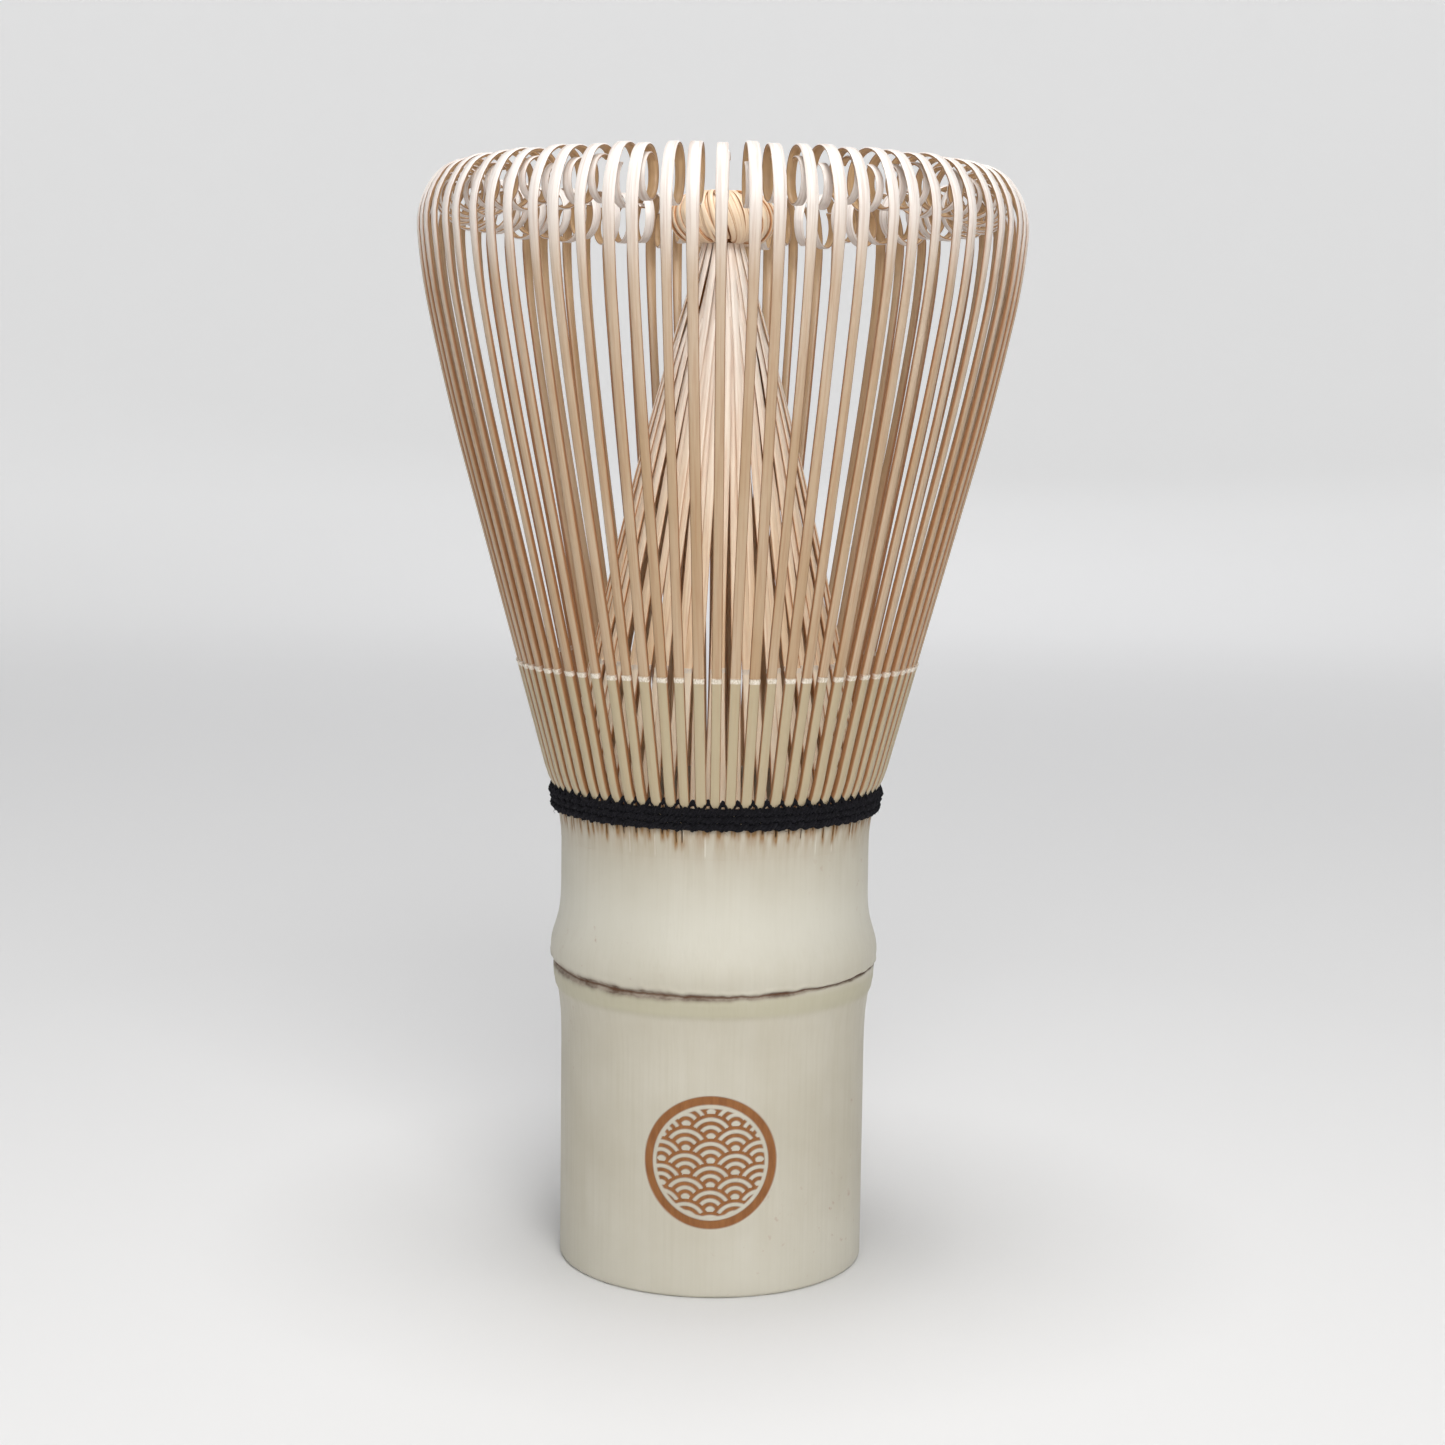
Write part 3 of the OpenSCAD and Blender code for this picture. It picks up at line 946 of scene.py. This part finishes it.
def yarn(shape, line, points, twists, ply_r, seed):
    """A closed round of twisted yarn. line(angle) gives its middle (r, z)."""
    for ply in range(PLIES):
        rings = []
        for n in range(points):
            angle = 2 * math.pi * n / points
            r, z = line(angle)
            phase = twists * angle + 2 * math.pi * ply / PLIES
            uneven = 1 + 0.3 * wobble(16 * math.cos(angle), 16 * math.sin(angle), seed + ply)
            off = ply_r * (0.72 + 0.2 * wobble(9 * math.cos(angle), 9 * math.sin(angle), seed + 5))
            centre_r, centre_z = r + off * math.cos(phase), z + off * math.sin(phase)
            ring = []
            for m in range(6):
                t = 2 * math.pi * m / 6
                fuzz = wobble(45 * math.cos(angle), 45 * math.sin(angle), seed + ply + 3 * m)
                reach = ply_r * (uneven + 0.32 * fuzz)
                ring.append(polar(centre_r + reach * math.cos(t), angle, centre_z + reach * math.sin(t)))
            rings.append(ring)
        shape.tube(rings, closed=True)


def lint(shape, count, low, high, reach_r, seed):
    """Short loose fibres that stand off the yarn."""
    chance = random.Random(seed)
    for _ in range(count):
        angle, z = chance.uniform(0, 2 * math.pi), chance.uniform(low, high)
        swing, rise = chance.uniform(-0.9, 0.9) / reach_r, chance.uniform(-0.5, 0.6)
        lift, curl = chance.uniform(0.0, 0.2), chance.uniform(-0.25, 0.25)
        rings = []
        for n in range(6):
            t = n / 5
            r = reach_r - 0.16 + lift * math.sin(math.pi * t) + 0.1 * t
            thin = 0.02 * (1 - 0.6 * t)
            at, up = angle + swing * t, z + rise * t * t + curl * math.sin(math.pi * t)
            corners = (0.0, 2.1, 4.2)
            rings.append([polar(r + thin * math.cos(a), at, up + thin * math.sin(a)) for a in corners])
        shape.tube(rings)


def make_thread():
    """Three turns of yarn, and above them the yarn that is woven between the tines."""
    for k, node in enumerate(("thread_lower_turn", "thread_middle_turn", "thread_upper_turn")):
        outside, low, high = node_span(node)
        thick = (high - low) / 2
        middle_r, middle_z = outside - thick, (low + high) / 2

        def line(angle, middle_r=middle_r, middle_z=middle_z, k=k):
            wave = math.cos(TINES * angle)
            x, y = 20 * math.cos(angle), 20 * math.sin(angle)
            r = middle_r + 0.08 * wave + 0.05 * wobble(x, y, k)
            return r, middle_z + 0.10 * wave + 0.07 * wobble(x, y, 9)

        shape = Shape()
        yarn(shape, line, 1080, 72 + 5 * k, thick * 0.72, 20 * k)
        section = [(thick * 0.85 * math.cos(t), thick * 1.05 * math.sin(t)) for t in steps(0, 5.24, 1.05)]
        pulled_in = [
            [polar(middle_r - 0.1 + out, a, middle_z + up) for out, up in section]
            for a in steps(0, 2 * math.pi, 0.05)[:-1]
        ]
        shape.tube(pulled_in, closed=True)
        lint(shape, 520, low, high, outside, 70 + k)
        shape.piece(node, THREAD, "culm", "thread", [node], sharp=180)

    outside, low, high = node_span("thread_weave")

    def weave(angle):
        """Over each outer tine's root, then up and inwards between it and the next."""
        wave = -math.cos(TINES * angle)
        lift = 0.16 * wobble(12 * math.cos(angle), 12 * math.sin(angle), 33)
        return outside + 0.58 - 0.16 * wave, low - 0.38 + (0.5 + lift) * wave

    shape = Shape()
    yarn(shape, weave, 1440, 72 * 2 - 3, 0.2, 90)
    lint(shape, 520, low - 0.8, high - 0.2, outside + 0.6, 79)
    shape.piece("thread_weave", THREAD, "culm", "thread", ["thread_weave"], sharp=180)
    make_tie()


def make_tie():
    """The small overhand knot where the two ends meet."""
    low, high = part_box("thread_tie")
    middle = (low + high) / 2 / MM
    size = (high.z - low.z) / 2 / MM
    angle = math.atan2(middle.y, middle.x)
    reach = math.hypot(middle.x, middle.y)
    shape = Shape()
    rings = []
    count = 90
    for n in range(count):
        t = 2 * math.pi * n / count
        wide = size * (0.62 + 0.3 * math.cos(3 * t))
        centre_r = reach + 0.3 * size * math.sin(3 * t)
        around, up = wide * math.cos(2 * t), wide * math.sin(2 * t)
        ring = []
        for m in range(6):
            a = 2 * math.pi * m / 6
            spread = TIE_YARN_R * math.sin(a)
            at = angle + (around + spread * math.cos(2 * t)) / reach
            up_at = middle.z + up + spread * math.sin(2 * t)
            ring.append(polar(centre_r + TIE_YARN_R * math.cos(a), at, up_at))
        rings.append(ring)
    shape.tube(rings, closed=True)
    shape.piece("thread_tie", THREAD, "culm", "thread", ["thread_tie"], sharp=180)


# ---- Stage, light and camera ----


def make_stage():
    """A pale floor that curves up into a low wall all round, so that no view has a horizon."""
    n = Nodes("pale_floor", 0.9, Specular_IOR_Level=0.1)
    n.shader.inputs["Base Color"].default_value = srgb(228, 228, 228)
    far = n.tree.nodes.new("ShaderNodeVectorMath")
    far.operation = "LENGTH"
    n.put(far.inputs[0], n.place())
    n.shader.inputs["Emission Color"].default_value = (1, 1, 1, 1)
    n.put(n.shader.inputs["Emission Strength"], n.range(far.outputs["Value"], 0.15, 1.0, 0.0, 0.36))
    flat, wall, corner = 0.8, 0.6, 0.5
    bend = steps(0.15, math.pi / 2, 0.2)
    rows = [(0.001, 0), (0.25, 0), (flat, 0)]
    rows += [(flat + corner * math.sin(a), corner * (1 - math.cos(a))) for a in bend]
    rows += [(flat + corner, wall)]
    mesh = bpy.data.meshes.new("floor")
    around = 64
    points = [polar(r, 2 * math.pi * k / around, z) for r, z in rows for k in range(around)]
    shape = Shape()
    shape.quads(0, around, len(rows), closed=False)
    mesh.from_pydata(points, [], shape.faces + [tuple(range(around))])
    mesh.shade_smooth()
    mesh.materials.append(n.material)
    floor = bpy.data.objects.new("floor", mesh)
    bpy.context.scene.collection.objects.link(floor)


def area_light(name, place, target, size, power, colour):
    data = bpy.data.lights.new(name, "AREA")
    data.shape, data.size, data.energy, data.color = "DISK", size, power, colour
    made = bpy.data.objects.new(name, data)
    made.location = place
    made.rotation_euler = (Vector(target) - Vector(place)).to_track_quat("-Z", "Y").to_euler()
    bpy.context.scene.collection.objects.link(made)


def make_lights():
    middle = (0, 0, 0.06)
    area_light("key", (0.10, -0.50, 0.42), middle, 0.30, 2.0, (1.0, 0.985, 0.96))
    area_light("fill", (-0.08, -0.85, 0.40), middle, 0.5, 1.4, (0.97, 0.975, 1.0))
    area_light("top", (-0.01, -0.04, 0.70), middle, 0.26, 2.5, (1.0, 1.0, 1.0))
    area_light("back", (0.1, 0.85, 0.45), middle, 0.6, 0.7, (0.95, 0.95, 1.0))
    world = bpy.data.worlds.new("studio")
    world.use_nodes = True
    world.node_tree.nodes["Background"].inputs["Color"].default_value = (0.97, 0.98, 1.0, 1)
    world.node_tree.nodes["Background"].inputs["Strength"].default_value = 0.10
    bpy.context.scene.world = world


def make_camera():
    """About 245 mm away, looking slightly down, with the small roll that makes the whisk lean."""
    down, roll = 6.66, -0.77
    data = bpy.data.cameras.new("camera")
    data.lens = 62.3
    data.sensor_width = 36
    data.clip_start = 0.01
    camera = bpy.data.objects.new("camera", data)
    camera.location = (0.0002, -0.2433, 0.0815)
    camera.rotation_euler = (math.radians(90 - down), math.radians(roll), 0)
    bpy.context.scene.collection.objects.link(camera)
    bpy.context.scene.camera = camera


make_camera()
make_lights()
make_stage()
make_handle()
make_diaphragm()
make_collar()
make_outer_tines()
make_inner_tines()
make_knot()
make_thread()
bpy.context.scene.view_settings.view_transform = "Standard"
